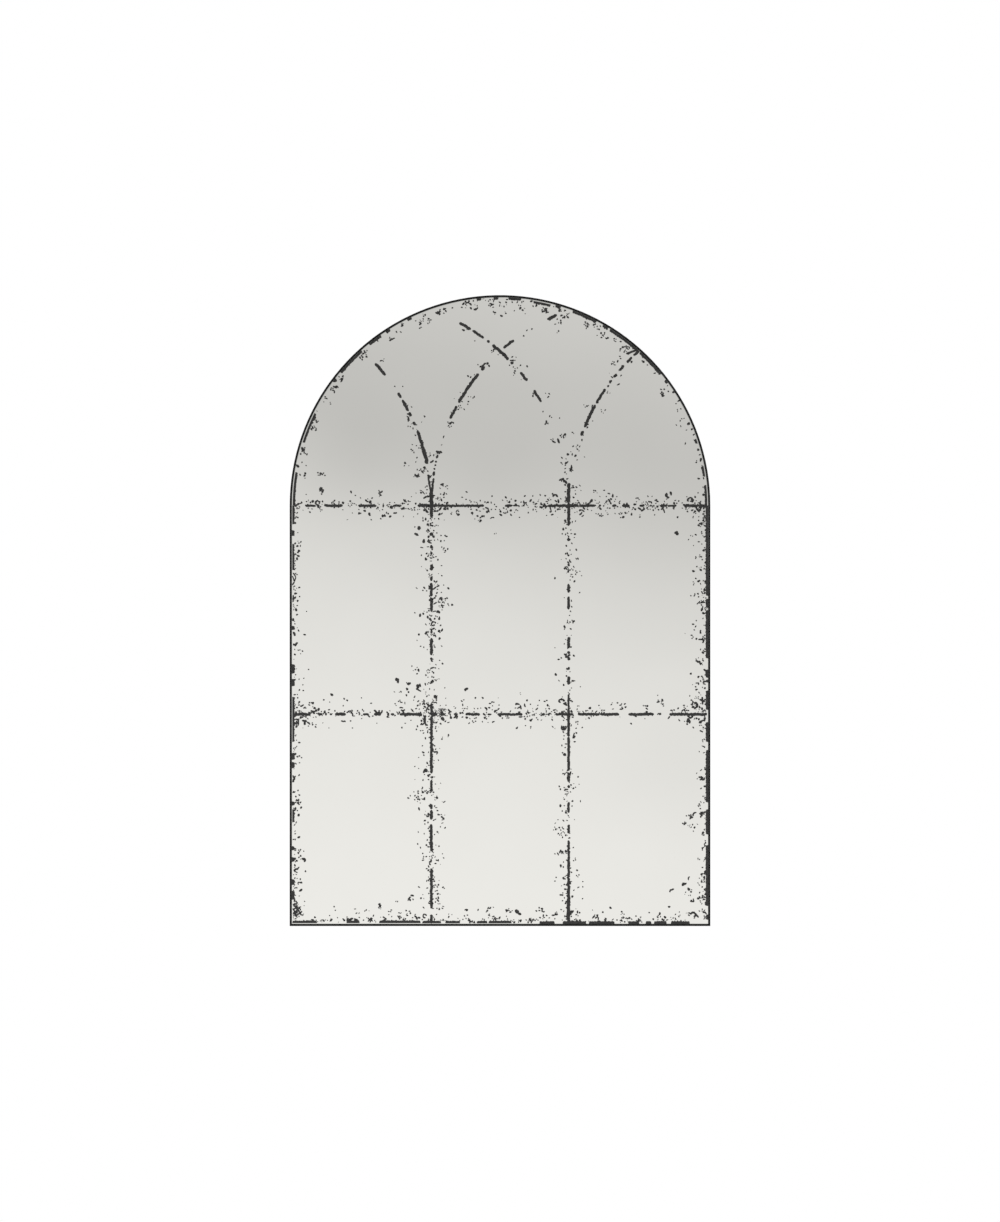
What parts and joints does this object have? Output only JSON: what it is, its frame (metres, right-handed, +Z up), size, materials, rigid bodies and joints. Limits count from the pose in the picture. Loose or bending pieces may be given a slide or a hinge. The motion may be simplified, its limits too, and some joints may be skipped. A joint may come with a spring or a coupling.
{
  "type": "arched wall mirror",
  "caption": "Tall arch-topped wall mirror with a very thin metal frame and broken antiqued lines that draw a tracery window in the glass.",
  "frame": {"origin": "middle of the frame's lower rear edge, on the plane of the flat bar's rear edges", "axes": "+Z up, +X to the right as seen from the front, -Y out of the glass towards the viewer, +Y towards the wall"},
  "size_m": [0.8, 0.027, 1.1999],
  "materials": {
    "frame_coat": "near-black powder coat on steel, fine texture, satin",
    "silvered_glass": "silvered float glass, antiqued with charcoal lines and specks in the silvering",
    "fibreboard": "raw medium-density fibreboard, matte",
    "foam_tape": "pale closed-cell foam tape, matte",
    "pad_rubber": "black rubber, matte",
    "bumper_rubber": "black rubber, matte",
    "zinc_plate": "bright zinc plate, satin",
    "nickel_wire": "nickel-plated wire, bright"
  },
  "bodies": {
    "mirror": {"frame_arch_bar": "frame_coat", "frame_left_bar": "frame_coat", "frame_right_bar": "frame_coat", "frame_bottom_bar": "frame_coat", "corner_gusset_left": "frame_coat", "corner_gusset_right": "frame_coat", "arch_tab_1": "frame_coat", "arch_tab_2": "frame_coat", "arch_tab_3": "frame_coat", "arch_tab_4": "frame_coat", "arch_tab_5": "frame_coat", "arch_tab_6": "frame_coat", "arch_tab_7": "frame_coat", "left_tab_1": "frame_coat", "left_tab_2": "frame_coat", "right_tab_1": "frame_coat", "right_tab_2": "frame_coat", "bottom_tab_1": "frame_coat", "bottom_tab_2": "frame_coat", "mirror_glass": "silvered_glass", "backing_board": "fibreboard", "bond_tape_1": "foam_tape", "bond_tape_2": "foam_tape", "bond_tape_3": "foam_tape", "bond_tape_4": "foam_tape", "bond_tape_5": "foam_tape", "setting_pad_left": "pad_rubber", "setting_pad_right": "pad_rubber", "wall_bumper_1": "bumper_rubber", "wall_bumper_2": "bumper_rubber", "wall_bumper_3": "bumper_rubber", "wall_bumper_4": "bumper_rubber", "hanger_strap_left": "zinc_plate", "hanger_strap_right": "zinc_plate", "board_screws": "zinc_plate", "hanger_screws": "zinc_plate", "bumper_screws": "zinc_plate", "bumper_washers": "zinc_plate"},
    "left_ring": {"d_ring_left": "nickel_wire"},
    "right_ring": {"d_ring_right": "nickel_wire"}
  },
  "joints": [
    {"name": "left_ring_hinge", "type": "hinge", "parent": "mirror", "child": "left_ring", "pos_m": [-0.33, -0.0072, 0.84996], "axis": [-1, 0, 0], "range_deg": [0, 173]},
    {"name": "right_ring_hinge", "type": "hinge", "parent": "mirror", "child": "right_ring", "pos_m": [0.33, -0.0072, 0.84996], "axis": [-1, 0, 0], "range_deg": [0, 173]}
  ]
}
